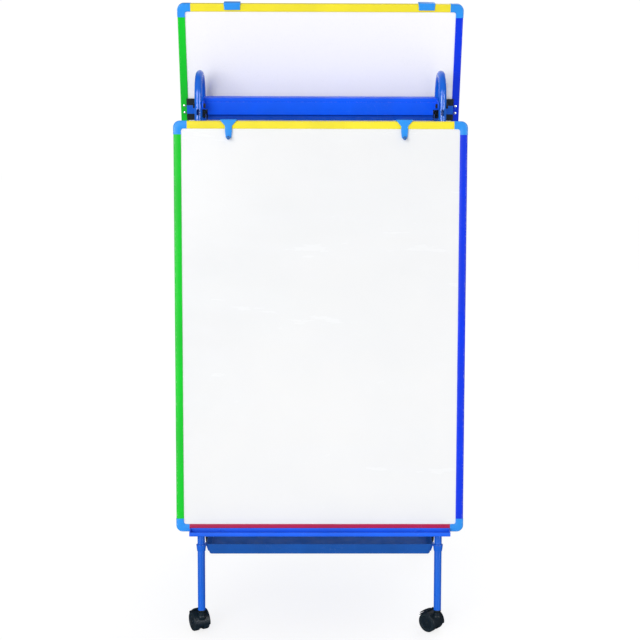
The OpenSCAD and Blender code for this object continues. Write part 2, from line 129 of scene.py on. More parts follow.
def makePiece(name, parts, body, material, stands=(), sharp=35, bevel=0.0):
    # joins the parts into one mesh, merges doubles, turns faces outwards and hands the piece to its body
    points, faces, start = [], [], 0
    for verts, quads in parts:
        verts = np.asarray(verts).reshape(-1, 3)
        points.append(verts)
        faces += [[start + k for k in q] for q in quads]
        start += len(verts)
    points = np.concatenate(points)
    mesh = bpy.data.meshes.new(name)
    mesh.from_pydata(points.tolist(), [], faces)
    work = bmesh.new()
    work.from_mesh(mesh)
    bmesh.ops.remove_doubles(work, verts=work.verts, dist=1e-6)
    bmesh.ops.dissolve_degenerate(work, edges=work.edges, dist=1e-7)
    bmesh.ops.delete(work, geom=[edge for edge in work.edges if not edge.link_faces], context="EDGES")
    bmesh.ops.recalc_face_normals(work, faces=work.faces)
    work.to_mesh(mesh)
    work.free()
    mesh.polygons.foreach_set("use_smooth", np.ones(len(mesh.polygons), bool))
    mesh.set_sharp_from_angle(angle=math.radians(sharp))
    piece = bpy.data.objects.new(name, mesh)
    bpy.context.scene.collection.objects.link(piece)
    mesh.materials.append(material)
    if bevel:
        edge = piece.modifiers.new("softEdge", "BEVEL")
        edge.width, edge.segments, edge.limit_method = bevel * millimetre, 2, "ANGLE"
        edge.angle_limit, edge.harden_normals = math.radians(40), True
    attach(piece, body)
    if stands:
        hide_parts(*stands)
    return piece


def newGroup(name, inputs, outputs):
    group = bpy.data.node_groups.new(name, "ShaderNodeTree")
    for label, kind, value in inputs:
        made = group.interface.new_socket(name=label, in_out="INPUT", socket_type=kind)
        made.default_value = value
    for label, kind in outputs:
        group.interface.new_socket(name=label, in_out="OUTPUT", socket_type=kind)
    return group, group.nodes.new("NodeGroupInput"), group.nodes.new("NodeGroupOutput")


def addNode(tree, kind, links=None, **settings):
    node = tree.nodes.new(kind)
    for key, value in settings.items():
        setattr(node, key, value)
    for key, value in (links or {}).items():
        socket = node.inputs[key]
        if isinstance(value, bpy.types.NodeSocket):
            tree.links.new(value, socket)
        else:
            socket.default_value = value
    return node


def mathNode(tree, operation, a, b=0.0, clamp=False):
    return addNode(tree, "ShaderNodeMath", {0: a, 1: b}, operation=operation, use_clamp=clamp).outputs[0]


def rampNode(tree, value, low, high, toLow=0.0, toHigh=1.0):
    return addNode(tree, "ShaderNodeMapRange", {0: value, 1: low, 2: high, 3: toLow, 4: toHigh}).outputs[0]


def mixColour(tree, factor, a, b, blend="MIX"):
    return addNode(tree, "ShaderNodeMix", {0: factor, 6: a, 7: b}, data_type="RGBA",
                   blend_type=blend).outputs[2]


def cloudGroup():
    # soft uneven patches, 0 to 1
    group, given, out = newGroup("surfaceClouds",
                                 [("Scale", "NodeSocketFloat", 6.0), ("Detail", "NodeSocketFloat", 4.0)],
                                 [("Mask", "NodeSocketFloat")])
    place = addNode(group, "ShaderNodeTexCoord").outputs["Object"]
    noise = addNode(group, "ShaderNodeTexNoise",
                    {"Vector": place, "Scale": given.outputs["Scale"], "Detail": given.outputs["Detail"],
                     "Roughness": 0.6})
    group.links.new(rampNode(group, noise.outputs[0], 0.32, 0.68), out.inputs["Mask"])
    return group


def edgeWearGroup():
    # where a rounded normal leaves the true one, broken up by fine noise
    group, given, out = newGroup("edgeWear", [("Radius", "NodeSocketFloat", 0.0012),
                                              ("Amount", "NodeSocketFloat", 0.5),
                                              ("Breakup", "NodeSocketFloat", 260.0)],
                                 [("Mask", "NodeSocketFloat")])
    soft = addNode(group, "ShaderNodeBevel", {"Radius": given.outputs["Radius"]}, samples=4)
    true = addNode(group, "ShaderNodeNewGeometry")
    dot = addNode(group, "ShaderNodeVectorMath", {0: soft.outputs[0], 1: true.outputs["Normal"]},
                  operation="DOT_PRODUCT")
    bend = rampNode(group, mathNode(group, "SUBTRACT", 1.0, dot.outputs["Value"]), 0.03, 0.22)
    place = addNode(group, "ShaderNodeTexCoord").outputs["Object"]
    chips = addNode(group, "ShaderNodeTexNoise",
                    {"Vector": place, "Scale": given.outputs["Breakup"], "Detail": 3.0})
    broken = rampNode(group, chips.outputs[0], 0.52, 0.62)
    worn = mathNode(group, "MULTIPLY", mathNode(group, "MULTIPLY", bend, broken), given.outputs["Amount"],
                    clamp=True)
    group.links.new(worn, out.inputs["Mask"])
    return group


def dustGroup():
    # dust lies on what faces up, thicker in patches
    group, given, out = newGroup("settledDust",
                                 [("Amount", "NodeSocketFloat", 0.2), ("Scale", "NodeSocketFloat", 30.0)],
                                 [("Mask", "NodeSocketFloat")])
    facing = addNode(group, "ShaderNodeSeparateXYZ",
                     {0: addNode(group, "ShaderNodeNewGeometry").outputs["Normal"]})
    up = rampNode(group, facing.outputs[2], 0.35, 0.95)
    place = addNode(group, "ShaderNodeTexCoord").outputs["Object"]
    patch = addNode(group, "ShaderNodeTexNoise",
                    {"Vector": place, "Scale": given.outputs["Scale"], "Detail": 5.0})
    lying = mathNode(group, "MULTIPLY", up, rampNode(group, patch.outputs[0], 0.35, 0.75))
    group.links.new(mathNode(group, "MULTIPLY", lying, given.outputs["Amount"], clamp=True),
                    out.inputs["Mask"])
    return group


def peelGroup():
    # the fine ripple of sprayed powder or the grain of a mould, as a height
    group, given, out = newGroup("skinRipple",
                                 [("Scale", "NodeSocketFloat", 420.0), ("Depth", "NodeSocketFloat", 0.3)],
                                 [("Height", "NodeSocketFloat")])
    place = addNode(group, "ShaderNodeTexCoord").outputs["Object"]
    coarse = addNode(group, "ShaderNodeTexNoise",
                     {"Vector": place, "Scale": given.outputs["Scale"], "Detail": 2.0})
    fine = addNode(group, "ShaderNodeTexVoronoi",
                   {"Vector": place, "Scale": mathNode(group, "MULTIPLY", given.outputs["Scale"], 1.7)},
                   feature="SMOOTH_F1")
    both = mathNode(group, "ADD", coarse.outputs[0], mathNode(group, "MULTIPLY", fine.outputs[0], 0.5))
    group.links.new(mathNode(group, "MULTIPLY", both, given.outputs["Depth"]), out.inputs["Height"])
    return group


def scuffGroup():
    # long thin scuffs: edges of stretched cells, kept only in patches
    group, given, out = newGroup("fineScuffs",
                                 [("Scale", "NodeSocketFloat", 40.0), ("Amount", "NodeSocketFloat", 0.3)],
                                 [("Mask", "NodeSocketFloat")])
    place = addNode(group, "ShaderNodeTexCoord").outputs["Object"]
    bent = addNode(group, "ShaderNodeTexNoise", {"Vector": place, "Scale": 9.0, "Detail": 2.0})
    moved = addNode(group, "ShaderNodeVectorMath", {0: place, 1: bent.outputs["Color"]}, operation="ADD")
    drawn = addNode(group, "ShaderNodeMapping",
                    {"Vector": moved.outputs[0], "Scale": (1.0, 1.0, 0.22), "Rotation": (0.3, 0.5, 0.2)})
    cells = addNode(group, "ShaderNodeTexVoronoi",
                    {"Vector": drawn.outputs[0], "Scale": given.outputs["Scale"]},
                    feature="DISTANCE_TO_EDGE")
    line = rampNode(group, cells.outputs["Distance"], 0.0, 0.012, 1.0, 0.0)
    patch = addNode(group, "ShaderNodeTexNoise", {"Vector": place, "Scale": 14.0, "Detail": 2.0})
    kept = mathNode(group, "MULTIPLY", line, rampNode(group, patch.outputs[0], 0.52, 0.66))
    group.links.new(mathNode(group, "MULTIPLY", kept, given.outputs["Amount"], clamp=True),
                    out.inputs["Mask"])
    return group


effects = {"clouds": cloudGroup(), "wear": edgeWearGroup(), "dust": dustGroup(), "ripple": peelGroup(),
           "scuffs": scuffGroup()}


def useEffect(tree, name, **values):
    node = tree.nodes.new("ShaderNodeGroup")
    node.node_tree = effects[name]
    for key, value in values.items():
        node.inputs[key].default_value = value
    return node.outputs[0]


def colourOf(rgb):
    return (*rgb, 1.0)


def newMaterial(name):
    material = bpy.data.materials.new(name)
    material.use_nodes = True
    return material, material.node_tree, material.node_tree.nodes["Principled BSDF"]


def coatedFinish(name, look):
    # paint or moulded plastic: tone drifts in clouds, edges wear, dust settles, skin ripples
    material, tree, shader = newMaterial(name)
    clouds = useEffect(tree, "clouds", Scale=look["cloudScale"], Detail=4.0)
    wear = useEffect(tree, "wear", Radius=look["wearRadius"], Amount=look["wear"], Breakup=look["breakup"])
    dust = useEffect(tree, "dust", Amount=look["dust"], Scale=34.0)
    scuffs = useEffect(tree, "scuffs", Scale=look["scuffScale"], Amount=look["scuffs"])
    tone = mixColour(tree, clouds, colourOf(look["colour"]), colourOf(look["shade"]))
    tone = mixColour(tree, scuffs, tone, colourOf(look["scuffColour"]))
    tone = mixColour(tree, wear, tone, colourOf(look["wornColour"]))
    tone = mixColour(tree, dust, tone, colourOf(look["dustColour"]))
    tree.links.new(tone, shader.inputs["Base Color"])
    rough = rampNode(tree, clouds, 0.0, 1.0, look["rough"] - look["roughDrift"],
                     look["rough"] + look["roughDrift"])
    rough = mathNode(tree, "ADD", rough, mathNode(tree, "MULTIPLY", mathNode(tree, "ADD", dust, scuffs),
                                                  0.35), clamp=True)
    tree.links.new(rough, shader.inputs["Roughness"])
    ripple = useEffect(tree, "ripple", Scale=look["rippleScale"], Depth=1.0)
    bump = addNode(tree, "ShaderNodeBump", {"Height": ripple, "Strength": look["rippleStrength"],
                                            "Distance": 0.0004})
    tree.links.new(bump.outputs[0], shader.inputs["Normal"])
    shader.inputs["Coat Weight"].default_value = look["coat"]
    shader.inputs["Coat Roughness"].default_value = look["coatRough"]
    shader.inputs["Specular IOR Level"].default_value = look["specular"]
    return material


powder = {"shade": None, "cloudScale": 5.0, "wearRadius": 0.0014, "wear": 0.35, "breakup": 240.0,
          "dust": 0.10, "scuffScale": 26.0, "scuffs": 0.07, "scuffColour": (0.75, 0.80, 0.88),
          "wornColour": (0.55, 0.57, 0.60), "dustColour": (0.62, 0.62, 0.60), "rough": 0.34,
          "roughDrift": 0.06, "rippleScale": 520.0, "rippleStrength": 0.16, "coat": 0.0, "coatRough": 0.22,
          "specular": 0.15}
moulded = {**powder, "wear": 0.22, "wornColour": (0.70, 0.78, 0.88), "rough": 0.32, "rippleScale": 900.0,
           "rippleStrength": 0.10, "scuffs": 0.08}


def shaded(rgb, factor=0.82):
    return tuple(c * factor for c in rgb)


coats = {
    "frameBlue": ("frame_blue", powder, (0.004, 0.135, 0.740),
                  {"rough": 0.19, "roughDrift": 0.03, "rippleStrength": 0.04, "scuffs": 0.05,
                   "specular": 0.38}),
    "barBlue": ("bar_blue", powder, (0.001, 0.110, 1.000),
                {"rough": 0.44, "rippleStrength": 0.10, "specular": 0.08,
                "scuffs": 0.04}),
    # a darker copy of the bar's own blue: painted shade on the band and lip under the bar's step
    "barPaintedShade": ("bar_blue", powder, (0.001, 0.072, 0.560),
                 {"rough": 0.50, "specular": 0.06, "scuffs": 0.03}),
    "trayBlue": ("tray_blue", powder, (0.010, 0.095, 0.400),
                 {"rough": 0.50, "dust": 0.05, "cloudScale": 9.0, "specular": 0.07}),
    "yellowRail": ("yellow_rail", powder, (0.980, 0.840, 0.038),
                   {"scuffColour": (0.98, 0.93, 0.70), "rough": 0.30}),
    "greenRail": ("green_rail", powder, (0.008, 0.640, 0.030),
                  {"scuffColour": (0.60, 0.90, 0.62), "rough": 0.28}),
    "blueRail": ("blue_rail", powder, (0.002, 0.040, 0.820),
                 {"scuffColour": (0.55, 0.65, 0.95), "rough": 0.28}),
    "redRail": ("red_rail", powder, (0.520, 0.012, 0.090),
                {"scuffColour": (0.85, 0.55, 0.58), "rough": 0.32}),
    "brightBluePlastic": ("bright_blue", moulded, (0.012, 0.140, 0.960), {"rough": 0.36}),
    "skyPlastic": ("sky_plastic", moulded, (0.030, 0.330, 0.960), {"rough": 0.27}),
    "blackPlastic": ("black_plastic", moulded, (0.004, 0.013, 0.022),
                     {"wornColour": (0.07, 0.08, 0.09), "rough": 0.42, "dust": 0.05,
                     "scuffColour": (0.07, 0.08, 0.10), "dustColour": (0.12, 0.13, 0.14),
                      "rippleStrength": 0.28}),
    "treadRubber": ("tread", moulded, (0.006, 0.018, 0.028),
                    {"dust": 0.05, "wornColour": (0.10, 0.11, 0.12), "rough": 0.58,
                    "scuffColour": (0.16, 0.17, 0.18), "scuffs": 0.25, "dustColour": (0.25, 0.25, 0.24),
                     "rippleStrength": 0.35}),
    "blackSteel": ("black_steel", powder, (0.012, 0.013, 0.016),
                   {"rough": 0.36, "wornColour": (0.30, 0.31, 0.33),
                   "scuffColour": (0.12, 0.13, 0.15), "dustColour": (0.20, 0.20, 0.20)}),
    # a darker copy of the hooks' sky-blue plastic: painted shade for the shadowed curl at the hook's tip
    "hookTipPaintedShade": ("sky_plastic", moulded, (0.040, 0.165, 0.480), {"rough": 0.30}),
}
finishes = {}
for finishName, (slotName, base, tint, changes) in coats.items():
    finishes[finishName] = coatedFinish(finishName,
                                        {**base, "colour": tint, "shade": shaded(tint), **changes})


def enamelFinish():
    # dry-wipe enamel: near white, mirror-smooth, with faint wiped streaks that only dull the gloss
    look = {"white": (0.850, 0.852, 0.855), "greyed": (0.812, 0.822, 0.834), "ghost": (0.80, 0.83, 0.88),
            "rough": 0.16, "smear": 0.16}
    material, tree, shader = newMaterial("whiteEnamel")
    clouds = useEffect(tree, "clouds", Scale=2.2, Detail=3.0)
    place = addNode(tree, "ShaderNodeTexCoord").outputs["Object"]
    drawn = addNode(tree, "ShaderNodeMapping",
                    {"Vector": place, "Rotation": (0.0, 0.5, 0.0), "Scale": (1.5, 1.0, 9.0)})
    wiped = addNode(tree, "ShaderNodeTexNoise",
                    {"Vector": drawn.outputs[0], "Scale": 2.6, "Detail": 6.0, "Roughness": 0.62})
    streak = rampNode(tree, wiped.outputs[0], 0.45, 0.72)
    scuffs = useEffect(tree, "scuffs", Scale=12.0, Amount=0.10)
    tone = mixColour(tree, clouds, colourOf(look["white"]), colourOf(look["greyed"]))
    tone = mixColour(tree, mathNode(tree, "MULTIPLY", streak, 0.10), tone, colourOf(look["ghost"]))
    tone = mixColour(tree, scuffs, tone, colourOf(look["ghost"]))
    tree.links.new(tone, shader.inputs["Base Color"])
    rough = mathNode(tree, "ADD", look["rough"], mathNode(tree, "MULTIPLY", streak, look["smear"]))
    tree.links.new(mathNode(tree, "ADD", rough, mathNode(tree, "MULTIPLY", scuffs, 0.5), clamp=True),
                   shader.inputs["Roughness"])
    ripple = useEffect(tree, "ripple", Scale=60.0, Depth=1.0)
    bump = addNode(tree, "ShaderNodeBump", {"Height": ripple, "Strength": 0.02, "Distance": 0.0006})
    tree.links.new(bump.outputs[0], shader.inputs["Normal"])
    shader.inputs["Specular IOR Level"].default_value = 0.35
    return material


def backingFinish():
    # pale backing sheet: a fine fibre speckle and a few handling marks
    look = {"pale": (0.920, 0.910, 0.925), "fleck": (0.840, 0.835, 0.860), "mark": (0.70, 0.70, 0.72)}
    material, tree, shader = newMaterial("boardBacking")
    place = addNode(tree, "ShaderNodeTexCoord").outputs["Object"]
    drawn = addNode(tree, "ShaderNodeMapping", {"Vector": place, "Scale": (1.0, 1.0, 0.35)})
    fibre = addNode(tree, "ShaderNodeTexNoise", {"Vector": drawn.outputs[0], "Scale": 620.0, "Detail": 3.0})
    fleck = rampNode(tree, fibre.outputs[0], 0.56, 0.70)
    clouds = useEffect(tree, "clouds", Scale=3.0, Detail=4.0)
    scuffs = useEffect(tree, "scuffs", Scale=18.0, Amount=0.25)
    tone = mixColour(tree, mathNode(tree, "MULTIPLY", fleck, 0.45), colourOf(look["pale"]),
                     colourOf(look["fleck"]))
    tone = mixColour(tree, mathNode(tree, "MULTIPLY", clouds, 0.12), tone, colourOf(look["fleck"]))
    tone = mixColour(tree, scuffs, tone, colourOf(look["mark"]))
    tree.links.new(tone, shader.inputs["Base Color"])
    tree.links.new(rampNode(tree, clouds, 0.0, 1.0, 0.50, 0.62), shader.inputs["Roughness"])
    bump = addNode(tree, "ShaderNodeBump", {"Height": fibre.outputs[0], "Strength": 0.12,
                                            "Distance": 0.0003})
    tree.links.new(bump.outputs[0], shader.inputs["Normal"])
    return material


def platedFinish():
    # zinc plate: spangled tone, drawn lines, dull patches
    look = {"bright": (0.66, 0.68, 0.71), "dull": (0.42, 0.44, 0.47), "rough": 0.30}
    material, tree, shader = newMaterial("zincPlate")
    shader.inputs["Metallic"].default_value = 1.0
    clouds = useEffect(tree, "clouds", Scale=160.0, Detail=4.0)
    dust = useEffect(tree, "dust", Amount=0.25, Scale=60.0)
    tone = mixColour(tree, mathNode(tree, "MULTIPLY", clouds, 0.5), colourOf(look["bright"]),
                     colourOf(look["dull"]))
    tone = mixColour(tree, dust, tone, colourOf((0.45, 0.44, 0.42)))
    tree.links.new(tone, shader.inputs["Base Color"])
    tree.links.new(rampNode(tree, clouds, 0.0, 1.0, look["rough"] - 0.08, look["rough"] + 0.14),
                   shader.inputs["Roughness"])
    ripple = useEffect(tree, "ripple", Scale=1400.0, Depth=1.0)
    bump = addNode(tree, "ShaderNodeBump", {"Height": ripple, "Strength": 0.15, "Distance": 0.0002})
    tree.links.new(bump.outputs[0], shader.inputs["Normal"])
    return material


finishes["whiteEnamel"] = enamelFinish()
finishes["boardBacking"] = backingFinish()
finishes["zincPlate"] = platedFinish()
print("finishes:", len(finishes))

slotFinish = {"frame_blue": "frameBlue", "bar_blue": "barBlue", "tray_blue": "trayBlue",
              "bright_blue": "brightBluePlastic", "yellow_rail": "yellowRail", "green_rail": "greenRail",
              "blue_rail": "blueRail", "red_rail": "redRail", "sky_plastic": "skyPlastic",
              "white_enamel": "whiteEnamel", "board_core": "boardBacking", "black_plastic": "blackPlastic",
              "tread": "treadRubber", "zinc": "zincPlate", "black_steel": "blackSteel"}
for row in frame["record"]["subparts"]:
    node = frame["nodes"][row["node"]]
    node.data.materials.clear()
    node.data.materials.append(finishes[slotFinish[row["material_slot"]]])


railLook = {"crown": 0.9, "outer": 4.2, "lip": 1.2, "sheetY": -45.0, "panelY": -30.0, "slot": 10.0}


def railOutline():
    # a D-shaped bar: crowned front and back, rounded outside, slotted for the board
    r, face, back, wide = railLook, easel["faceY"], easel["backY"], easel["railFace"]
    across = np.linspace(0, 1, 9)
    bow = r["crown"] * (1 - (2 * across - 1) ** 2)
    front = np.stack([across * wide, face + r["crown"] - bow], 1)
    rear = np.stack([(1 - across) * wide, np.full(9, back)], 1)
    slot = np.array([[wide, r["panelY"] + 0.05], [r["slot"], r["panelY"] + 0.05],
                     [r["slot"], r["sheetY"] - 0.05], [wide, r["sheetY"] - 0.05]])
    corners = np.concatenate([front, slot[::-1], rear])
    slotRadii = [0.2, 0.3, 0.3, 0.2]
    flat = [0.0] * 7
    radii = [r["outer"], *flat, r["lip"], *slotRadii, r["lip"], *flat, r["outer"] * 0.6]
    return roundedOutline(corners, radii, 5)


def buildRails(side, low):
    half, tall, leg = easel["boardWidth"] / 2, easel["boardHeight"], easel["capLeg"]
    outline = railOutline()
    ends = np.linspace(low + leg, low + tall - leg, 12)
    spans = np.linspace(-half + leg, half - leg, 10)
    upright = {"left": -1.0, "right": 1.0}
    for word, sign in upright.items():
        place = lambda o, s: toWorld(side, np.stack([sign * (half - o[:, 0]), o[:, 1], np.full(len(o), s)],
                                                    1))
        slotName = "green_rail" if word == "left" else "blue_rail"
        makePiece(f"{side}_{word}_rail_shaped", [extruded(outline, ends, place)], f"{side}_board",
                  finishes[slotFinish[slotName]], (f"{side}_{word}_rail",), sharp=30)
    for word in ("top", "bottom"):
        level = (lambda o: low + tall - o[:, 0]) if word == "top" else (lambda o: low + o[:, 0])
        place = lambda o, s: toWorld(side, np.stack([np.full(len(o), s), o[:, 1], level(o)], 1))
        slotName = "yellow_rail" if word == "top" else "red_rail"
        makePiece(f"{side}_{word}_rail_shaped", [extruded(outline, spans, place)], f"{side}_board",
                  finishes[slotFinish[slotName]], (f"{side}_{word}_rail",), sharp=30)


capLook = {"proud": 0.6, "outerRadius": 16.6, "innerRadius": 6.0, "crown": 1.4, "edge": 4.6, "lip": 1.4}


def capGrid(side, low, signX, top):
    # the L runs along its outer line and its inner line together; the section rides from one to the other
    c, half, tall, leg = capLook, easel["boardWidth"] / 2, easel["boardHeight"], easel["capLeg"]
    proud, wide = c["proud"], easel["railFace"]
    outer = roundedPath([[leg, -proud], [-proud, -proud], [-proud, leg]], [c["outerRadius"]], 26)
    inner = roundedPath([[leg, wide], [wide, wide], [wide, leg]], [c["innerRadius"]], 26)
    across = np.linspace(0, 1, 9)
    bow = c["crown"] * (1 - (2 * across - 1) ** 2)
    front = np.stack([across * wide, easel["faceY"] - proud + c["crown"] - bow], 1)
    rear = np.stack([(1 - across) * wide, np.full(9, easel["backY"] + proud)], 1)
    section = roundedOutline(np.concatenate([front, rear]), [c["edge"]] + [0] * 7 + [c["lip"]] * 2 + [0] * 7
                             + [c["edge"] * 0.6], 5)
    w = section[:, 0] / wide
    run = outer[:, None, :] + (inner - outer)[:, None, :] * w[None, :, None]
    x = signX * (half - run[..., 0])
    s = low + tall - run[..., 1] if top else low + run[..., 1]
    y = np.broadcast_to(section[:, 1], x.shape)
    return closedTube(toWorld(side, np.stack([x, y, s], -1)))


def buildCaps(side, low):
    parts = [capGrid(side, low, signX, top) for signX in (-1.0, 1.0) for top in (False, True)]
    makePiece(f"{side}_corner_caps_shaped", parts, f"{side}_board", finishes["skyPlastic"],
              (f"{side}_corner_caps",), sharp=40, bevel=0.5)


trayLook = {"half": 326.0, "endThick": 2.4, "bevel": 0.5, "overlap": 0.3, "rivetX": 250.0}


def buildPenTray(side, low):
    f = easel["faceY"]
    shell = [[f - 0.1, 9.5], [f - 0.1, -7.5], [f - 20.5, -7.5], [f - 24, -4.5], [f - 24, 3.4],
             [f - 21.8, 3.4], [f - 21.8, -3.6], [f - 19, -5.5], [f - 4.5, -5.5], [f - 2.1, -3.4],
             [f - 2.1, 9.5]]
    wall = roundedOutline(shell, [0.4, 2.0, 4.0, 3.0, 1.0, 1.0, 2.4, 2.4, 1.8, 1.8, 0.9], 6)
    cheek = [[f - 0.1, 9.5], [f - 0.1, -7.5], [f - 20.5, -7.5], [f - 24, -4.5], [f - 24, 3.4],
             [f - 18.5, 5.0], [f - 5, 9.5]]
    closing = roundedOutline(cheek, [0.6, 2.0, 4.0, 3.0, 2.4, 4.0, 2.4], 6)
    place = lambda o, s: toWorld(side, np.stack([np.full(len(o), s), o[:, 0], low + o[:, 1]], 1))
    half, thick = trayLook["half"], trayLook["endThick"]
    reach = half - thick + trayLook["overlap"]
    parts = [extruded(wall, np.linspace(-reach, reach, 14), place)]
    parts += [extruded(closing, [s * half, s * (half - thick)], place) for s in (-1, 1)]
    head = [[0, -0.2], [3.2, -0.2], [3.2, 0.4], [2.2, 1.3], [0, 1.6]]
    parts += [turned(head, [s * trayLook["rivetX"], f - 2.1, low + 5.0], [0, -1, 0], 24,
                     side) for s in (-1, 1)]
    makePiece(f"{side}_pen_tray_shaped", parts, f"{side}_board",
              finishes["brightBluePlastic"], (f"{side}_pen_tray",), sharp=32, bevel=trayLook["bevel"])


strapLook = {"thick": 2.5, "height": 22.4, "up": 753.5, "bend": 4.0, "end": 344.0, "rivetRadius": 3.6,
             "rivetTall": 1.7}
padLook = {"thick": 2.4, "height": 56.0, "from": 286.0, "to": 345.0, "below": 11.2, "above": 14.5,
           "bore": 9.6, "gape": 147.0}


def alongLeg(side, sign):
    # puts an outline of x and y at a height on one of the side's two legs
    return lambda o, s: toWorld(side, np.stack([sign * o[:, 0], o[:, 1], np.full(len(o), s)], 1))


def buildStraps(side, low):
    # the strap's outline seen along the leg: out along the pad, round the leg's outer side and back behind
    # it
    b, x, t = easel["backY"] + padLook["thick"] + 0.05, easel["legX"], strapLook["thick"]
    outline = roundedOutline([[x - 7.5, b], [strapLook["end"], b], [strapLook["end"], b + t],
                              [x + 12.9, b + t], [x + 12.9, 15], [x - 8, 15], [x - 8, 12.5],
                              [x + 10.4, 12.5], [x + 10.4, b + t], [x - 7.5, b + t]],
                             [0.4, 0.8, 0.8, 2.0, strapLook["bend"], 0.8, 0.8, 1.6, 1.0, 0.8], 7)
    middle, rise = low + strapLook["up"], strapLook["height"] / 2
    for word, sign in (("left", -1.0), ("right", 1.0)):
        place = alongLeg(side, sign)
        stands = (f"{side}_slide_brackets",) if word == "left" else ()
        makePiece(f"{side}_slide_strap_{word}", [extruded(outline, [middle - rise, middle + rise], place)],
                  f"{side}_board", finishes["frameBlue"], stands, sharp=32, bevel=0.6)


def buildPads(side, low):
    # a tall plastic pad under each strap, and a block with an open bore that runs on the leg
    b, x, n = easel["backY"], easel["legX"], padLook
    pad = roundedOutline([[n["from"], b + 0.05], [n["to"], b + 0.05], [n["to"], b + n["thick"]],
                          [n["from"], b + n["thick"]]], [0.2, 0.2, 0.9, 0.9], 4)
    swing = np.radians(np.linspace(n["gape"], -n["gape"], 41))
    bore = np.stack([x + n["bore"] * np.cos(swing), n["bore"] * np.sin(swing)], 1)
    block = np.concatenate([[[x - 8, b + 5.1], [x + 10.3, b + 5.1], [x + 10.3, 12.4], [x - 8, 12.4]], bore])
    middle = low + strapLook["up"]
    parts = []
    for sign in (-1.0, 1.0):
        place = alongLeg(side, sign)
        parts.append(extruded(pad, middle + np.array([-0.5, 0.5]) * n["height"], place))
        parts.append(extruded(block, middle + np.array([-n["below"], n["above"]]), place))
    makePiece(f"{side}_clamp_pads", parts, f"{side}_board", finishes["blackPlastic"],
              (f"{side}_bracket_blocks",), sharp=32)


def buildRivets(side, low):
    # mushroom heads: radius falls as the square root of what is left of the height
    r = strapLook
    k = np.linspace(0, 1, 9)
    dome = np.stack([r["rivetRadius"] * np.cos(k * math.pi / 2), r["rivetTall"] * np.sin(k * math.pi / 2)],
                    1)
    profile = np.concatenate([[[0, -2.0], [r["rivetRadius"] * 0.5, -2.0], [r["rivetRadius"] * 0.5, 0.0]],
                              dome])
    parts = []
    for sign in (-1, 1):
        for step in (-9, 9):
            for up, skin in ((r["up"], 0.0), (easel["guideUp"], 4.0)):
                centre = [sign * (easel["boardWidth"] / 2 - 10), easel["backY"] + skin, low + up + step]
                parts.append(turned(profile, centre, [0, 1, 0], 28, side))
    makePiece(f"{side}_rivet_heads", parts, f"{side}_board", finishes["zincPlate"],
              (f"{side}_rivets",), sharp=50)


hookLook = {"thick": 2.5, "backWide": 40.0, "topWide": 42.0, "stemWide": 17.0, "tipRadius": 4.6,
            "drop": 42.0}


def buildHook(side, low, word, x):
    # a ribbon carried along a bent line: up the back, over the rail, down the front and out into the peg
    h, top, face, back = hookLook, low + easel["boardHeight"], easel["faceY"], easel["backY"]
    line = roundedPath([[back + 2.1, top - 14], [back + 2.1, top + 2.05], [face - 2.1, top + 2.05],
                        [face - 2.1, top - h["drop"]], [face - 12.5, top - h["drop"]]], [1.9, 1.9, 4.5], 10)
    step = np.linalg.norm(np.diff(line, axis=0), axis=1)
    far = np.concatenate([[0], np.cumsum(step)])
    u = np.unique(np.concatenate([far, np.linspace(0, far[-1], 70)]))
    path = np.stack([np.interp(u, far, line[:, 0]), np.interp(u, far, line[:, 1])], 1)
    aim = np.gradient(path, axis=0)
    aim /= np.linalg.norm(aim, axis=1, keepdims=True)
    normal = np.stack([-aim[:, 1], aim[:, 0]], 1)
    # distance below the rail's top on the front
    down = u - (far[-1] - 12.4 - h["drop"])
    wide = np.interp(down, [-30, -22, 2, 16.5, 30, 44, 50, 54.5],
                     [h["backWide"], h["topWide"], h["topWide"], h["stemWide"], h["stemWide"], 14.0, 10.0,
                      9.0])
    t = np.arange(20) / 20 * 2 * math.pi
    section = np.stack([np.sign(np.cos(t)) * np.abs(np.cos(t)) ** 0.22,
                        np.sign(np.sin(t)) * np.abs(np.sin(t)) ** 0.55], 1)
    edge = np.clip(np.minimum(u, far[-1] - u) / 1.4, 0.35, 1)[:, None]
    px = x + section[None, :, 0] * wide[:, None] / 2
    off = section[None, :, 1] * h["thick"] / 2 * edge
    py, pz = path[:, :1] + normal[:, :1] * off, path[:, 1:] + normal[:, 1:] * off
    body = f"{side}_hook_{word}_body"
    makePiece(f"{side}_hook_{word}_clip", [closedTube(toWorld(side, np.stack([px, py, pz], -1)))], body,
              finishes["skyPlastic"], (f"{side}_hook_{word}",), sharp=50)
    k = np.linspace(0, math.pi / 2, 8)
    r = h["tipRadius"]
    tip = np.concatenate([[[0, 0], [r * 0.8, 0], [r, 1.0], [r, 3.5]],
                          np.stack([r * np.cos(k), 3.5 + r * np.sin(k)], 1)])
    # the peg is coloured with the darker copy of the hook's plastic: painted shade under the curl
    makePiece(f"{side}_hook_{word}_tip", [turned(tip, [x, face - 10.3, top - h["drop"] + 0.3], [0, -1, 0],
                                                 28, side)], body, finishes["hookTipPaintedShade"],
              (), sharp=50)


knobLook = {"lobes": 5, "swing": 2.1}


